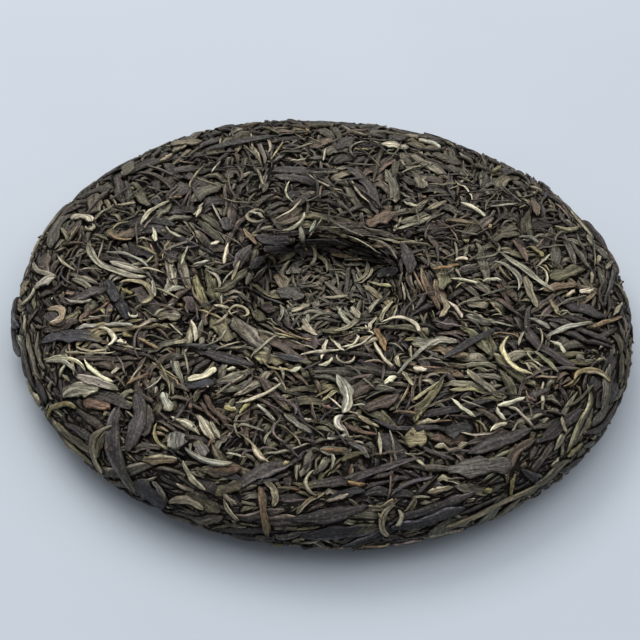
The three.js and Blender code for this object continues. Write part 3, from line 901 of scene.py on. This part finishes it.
def spread(rng, count, from_along=0.0, to_along=OUTLINE_LENGTH):
    """Places spread over the face between two lines round it, as many on each area alike."""
    inside = (form_along >= from_along) & (form_along <= to_along)
    area = np.cumsum(np.where(inside, form_radius, 0))
    along = np.interp(rng.uniform(0, area[-1], count), area, form_along)
    return along, rng.uniform(0, math.tau, count)


def headings(rng, along, around):
    """Leaves lie round the cake on its side and round its hollow's lip, and in swirls elsewhere."""
    x, y, z = np.moveaxis(on_form(along, around, 0.0), -1, 0) / MM
    swirl = 1.6 * np.sin(x / 23 + 1.3) * np.cos(y / 19) + 1.2 * np.sin((x + 2 * y) / 37)
    radius = np.hypot(x, y)
    round_side = smooth(78, 95, radius)
    round_lip = smooth(15, 24, radius) * (1 - smooth(28, 38, radius)) * (z > 10)
    bound = np.maximum(round_side, 0.7 * round_lip)
    free = swirl + rng.normal(0, 0.75, len(along))
    held = 0.5 * math.pi + rng.normal(0, 0.3, len(along))
    return np.where(rng.random(len(along)) < bound, held, free)


def draw_tones(rng, bunch):
    """The colour of each leaf and of its lighter end, alike for the folds of one bunch."""
    count = bunch.max() + 1
    kinds = rng.choice(len(LEAF_TONES), count, p=[kind[0] for kind in LEAF_TONES])
    tones = [LEAF_TONES[kind][1][rng.integers(len(LEAF_TONES[kind][1]))] for kind in kinds]
    tones = np.array(tones) * np.exp(rng.normal(0, 0.1, (count, 1)))
    return tones[bunch], np.array([LEAF_TONES[kind][2] for kind in kinds])[bunch]


along, around = spread(rng, STRANDS, shoulder_along - 3 * MM, hollow_along + 4 * MM)
strands = draw_leaves(
    rng, along, around, headings(rng, along, around), "strand",
    length=(6 * MM, 17 * MM), width=(0.6 * MM, 1.1 * MM), bend=(-220, 220), hook=(-350, 350),
    back_hook=(-350, 350))
tones, tips = draw_tones(rng, np.arange(STRANDS))
give_tones(rng, strands, np.minimum(tones * 1.2, 200), tips, 0.4, 0.3)
leaf_piece("thin_strands", lay(strands, 0.45), dry_leaf, 1.2 * MM)


# The big whole leaves of the pressed face: broad dark ones in lengthwise pleats, then rolled ones,
# many of them two or three folds of one leaf side by side, and the flat blades that weren't rolled.
PLEATED_LEAVES = 430
BIG_LEAVES = 480
FLAT_BLADES = 130


def side_by_side(rng, leaves, most):
    """Repeats each leaf up to a number of times, as the folds of one broad leaf lie together."""
    times = rng.integers(1, most + 1, len(leaves["along"]))
    source = np.repeat(np.arange(len(times)), times)
    count = len(source)
    order = np.arange(count) - np.repeat(np.cumsum(times) - times, times)
    offset = (order - 0.5 * (times[source] - 1)) * leaves["width"][source] * rng.uniform(0.6, 0.95, count)
    ahead = rng.uniform(-0.28, 0.28, count) * leaves["length"][source] * (times[source] > 1)
    bunch = {key: value[source] for key, value in leaves.items()}
    climb = np.cos(bunch["heading"]) * ahead - np.sin(bunch["heading"]) * offset
    turn = np.sin(bunch["heading"]) * ahead + np.cos(bunch["heading"]) * offset
    bunch["along"], bunch["around"], swing = slide(bunch["along"], bunch["around"], climb, turn)
    bunch["heading"] = bunch["heading"] - swing + bunch["bend"] * ahead + rng.normal(0, 0.13, count)
    for key in ("length", "thickness", "phase", "twist", "pale_edge", "sharp_back", "sharp_front"):
        bunch[key] = bunch[key] * rng.uniform(0.7, 1.2, count)
    bunch["width"] = bunch["width"] * rng.uniform(0.45, 1.1, count)
    bunch["bunch"] = source
    bunch["level"] = bunch["level"] + rng.uniform(-0.3 * MM, 0.1 * MM, count)
    return bunch


along, around = spread(rng, FLAT_BLADES)
blades = draw_leaves(
    rng, along, around, headings(rng, along, around), "flake",
    length=(6 * MM, 14 * MM), width=(3.0 * MM, 6.0 * MM), bend=(-60, 60))
tones, tips = draw_tones(rng, np.arange(FLAT_BLADES))
flat_blades = lay(give_tones(rng, blades, tones, tips, 0.12, 0.2), 0.4)
along, around = spread(rng, PLEATED_LEAVES, to_along=hollow_along)
broad = side_by_side(rng, draw_leaves(
    rng, along, around, headings(rng, along, around), "pleated",
    length=(13 * MM, 28 * MM), width=(2.8 * MM, 5.4 * MM), thickness=(0.9 * MM, 1.4 * MM),
    bend=(-90, 90), hook=(-90, 90), back_hook=(-90, 90)), 2)
tones, tips = draw_tones(rng, broad["bunch"])
leaf_piece("pleated_leaves", lay(give_tones(rng, broad, tones, tips, 0.12, 0.18), 0.3), dry_leaf, 1.4 * MM)
along, around = spread(rng, BIG_LEAVES, to_along=hollow_along)
folds = side_by_side(rng, draw_leaves(
    rng, along, around, headings(rng, along, around),
    length=(11 * MM, 24 * MM), width=(1.8 * MM, 4.0 * MM), thickness=(0.7 * MM, 1.2 * MM),
    bend=(-110, 110), hook=(-110, 110), back_hook=(-110, 110)), 3)
tones, tips = draw_tones(rng, folds["bunch"])
big_leaves = lay(give_tones(rng, folds, tones, tips, 0.25, 0.18), 0.35)
leaf_piece("big_leaves", big_leaves + flat_blades, dry_leaf)


# The other pale buds: unopened leaf tips with silvery down, thin crescents with one sharp end. They
# are stiffer than the leaves, so they stay on the pressed face, and most lie before the hollow.
BUDS = 900

along, around = spread(rng, BUDS)
x, y, z = np.moveaxis(on_form(along, around, 0.0), -1, 0) / MM
likely = 0.3 + 0.7 * np.exp(-(((x - 18) / 45) ** 2 + ((y + 42) / 30) ** 2))
kept = rng.random(BUDS) < np.where(z > 12, likely, 0.25)
along, around = along[kept], around[kept]
buds = draw_leaves(
    rng, along, around, headings(rng, along, around) + rng.normal(0, 0.6, len(along)), "bud",
    length=(5 * MM, 12 * MM), width=(0.9 * MM, 1.9 * MM), bend=(-190, 190), hook=(-420, 420))
tones = rng.choice(["cream", "pale", "pale", "beige", "beige", "silver", "olivebeige"], len(along))
give_tones(rng, buds, [TONES[tone] for tone in tones], [TONES["olivebeige"]] * len(along), 0.5, 0.22)
leaf_piece("silver_buds", lay(buds, 0.4), downy_bud, 1.0 * MM)


# The filling leaves: smaller rolled leaves of the same picking that fill the places between the
# big ones, and show in part. Each layer lies a little deeper than the one before it.
SMALL_LEAVES = 2000
for number, least_shown in enumerate((0.3, 0.2, 0.12)):
    along, around = spread(rng, SMALL_LEAVES)
    layer = side_by_side(rng, draw_leaves(
        rng, along, around, headings(rng, along, around),
        length=(7 * MM, 18 * MM), width=(0.9 * MM, 2.5 * MM), thickness=(0.45 * MM, 0.9 * MM)), 2)
    tones, tips = draw_tones(rng, layer["bunch"])
    small_leaves = lay(give_tones(rng, layer, tones, tips, 0.25, 0.2), least_shown)
    leaf_piece("small_leaves_" + str(number + 1), small_leaves, dry_leaf)


# The bits that close the gaps between the leaves: torn leaf, broken stems, the fines of the picking.
GAP_BITS = 1600


def gaps(rng, count):
    """Places drawn among those that no leaf covers yet."""
    cell = rng.choice(np.flatnonzero(~covered), count)
    row = np.searchsorted(row_start, cell, side="right") - 1
    return row_along[row] + 0.5 * CELL, (cell - row_start[row] + 0.5) / row_cells[row] * math.tau


gap_bits = []
for least_shown in (0.15, 0.12, 0.1, 0.08):
    along, around = gaps(rng, GAP_BITS)
    bits = draw_leaves(
        rng, along, around, headings(rng, along, around),
        length=(4 * MM, 11 * MM), width=(0.9 * MM, 2.6 * MM), thickness=(0.4 * MM, 0.8 * MM))
    tones, tips = draw_tones(rng, np.arange(GAP_BITS))
    gap_bits += lay(give_tones(rng, bits, tones, tips, 0.2), least_shown)
leaf_piece("gap_bits", gap_bits, dry_leaf, 1.7 * MM)


# Crumbs: chips of leaf and stem a millimetre or two long, caught on and between the leaves all over
# the cake. Each is a flat five-sided chip that lies on what is under it, a little askew.
CRUMBS = 1700
SIDES = 5
CRUMB_TONES = ["tanbeige", "brown", "brown", "rose", "olive", "olivebeige", "grey", "charcoal", "charcoal"]

along, around = spread(rng, 3 * CRUMBS)
low_first = np.argsort(crest[cell_of(along, around)] + rng.normal(0, 0.8 * MM, 3 * CRUMBS))[:CRUMBS]
along, around = along[low_first], around[low_first]
level = np.minimum(crest[cell_of(along, around)] + rng.uniform(0.0, 0.25 * MM, CRUMBS), 0.1 * MM)
corner_angle = (np.arange(SIDES) + rng.uniform(-0.3, 0.3, (CRUMBS, SIDES))) * math.tau / SIDES
long_half = rng.uniform(0.3 * MM, 1.1 * MM, CRUMBS)[:, None]
broad_half = long_half * rng.uniform(0.25, 0.8, CRUMBS)[:, None]
forth, aside = long_half * np.cos(corner_angle), broad_half * np.sin(corner_angle)
lie = rng.uniform(0, math.tau, CRUMBS)[:, None]
climb, turn = forth * np.cos(lie) - aside * np.sin(lie), forth * np.sin(lie) + aside * np.cos(lie)
crumb_along, crumb_around, _ = slide(along[:, None], around[:, None], climb, turn)
rise = level[:, None] + rng.uniform(-0.5, 0.5, (CRUMBS, 1)) * forth
thick = rng.uniform(0.15 * MM, 0.35 * MM, (CRUMBS, 1))
crumb_points = np.stack([
    make_uneven(on_form(crumb_along, crumb_around, rise + lift)) for lift in (thick, -thick)], axis=1)
low = np.arange(SIDES)
high = (low + 1) % SIDES
crumb_sides = np.stack([low, low + SIDES, high + SIDES, high], axis=-1).ravel()
crumb_corners = np.concatenate([crumb_sides, np.arange(SIDES), np.arange(SIDES)[::-1] + SIDES])
corner = (crumb_corners + 2 * SIDES * np.arange(CRUMBS)[:, None]).ravel()
size = np.tile([4] * SIDES + [SIDES, SIDES], CRUMBS)
crumb_tones = np.array([linear(*TONES[tone]) for tone in rng.choice(CRUMB_TONES, CRUMBS)])
crumb_tones *= np.exp(rng.normal(0, 0.25, (CRUMBS, 1)))
# painted shade: crumbs lying deeper in the cracks are darker
crumb_tones *= 1 - 0.7 * np.clip(-level[:, None] / crack_depth(along)[:, None], 0, 1)
crumb_map = np.stack([forth, aside], axis=-1) / MM + 40 * lie[..., None]
crumb_map = np.concatenate([crumb_map, crumb_map], axis=1).reshape(-1, 2)
crumb_tints = np.repeat(crumb_tones, 2 * SIDES, axis=0)
crumb_mesh = leaf_mesh("crumbs", crumb_points.reshape(-1, 3), crumb_tints, crumb_map, corner, size)
add_piece("crumbs", crumb_mesh, dry_leaf)


# The table that the cake lies on, plain and pale, and the soft daylight of a room: a wide window
# above and behind to the left, with bright walls round it.
floor = bmesh.new()
bmesh.ops.create_grid(floor, x_segments=1, y_segments=1, size=3.0)
floor_mesh = bpy.data.meshes.new("table_top")
floor.to_mesh(floor_mesh)
floor.free()
floor_material, shader, add = new_material("pale_table")
place = add("ShaderNodeTexCoord").outputs["Object"]
mottle = add("ShaderNodeTexNoise", {"Vector": place, "Scale": 9.0, "Detail": 2.0})
paint = add("ShaderNodeMix", {
    "Factor": mottle.outputs["Fac"], "A": (*linear(169, 178, 188), 1), "B": (*linear(175, 184, 194), 1)},
    data_type="RGBA")
link_inputs(shader, Base_Color=paint.outputs["Result"])
shader.inputs["Roughness"].default_value = 0.8
table_top = add_object("table_top", floor_mesh, floor_material)

world = bpy.data.worlds.new("room")
bpy.context.scene.world = world
world.use_nodes = True
world.node_tree.nodes["Background"].inputs["Color"].default_value = (0.94, 0.96, 1.0, 1)
world.node_tree.nodes["Background"].inputs["Strength"].default_value = 0.5


def window(name, place, aim, size, power, colour):
    """A rectangle of soft light at a place, turned towards another one."""
    light = bpy.data.lights.new(name, "AREA")
    light.shape = "RECTANGLE"
    light.size, light.size_y = size
    light.energy = power
    light.color = colour
    lamp = bpy.data.objects.new(name, light)
    lamp.location = place
    lamp.rotation_euler = (Vector(aim) - Vector(place)).to_track_quat("-Z", "Y").to_euler()
    bpy.context.collection.objects.link(lamp)


window("main_window", (-0.45, 0.75, 1.05), (0, 0, 0), (0.9, 0.6), 8, (1.0, 0.96, 0.9))
window("ceiling", (0.1, 0.3, 1.5), (0, 0.1, 0), (3.0, 2.6), 31, (1.0, 0.98, 0.96))
bpy.context.scene.view_settings.view_transform = "Standard"
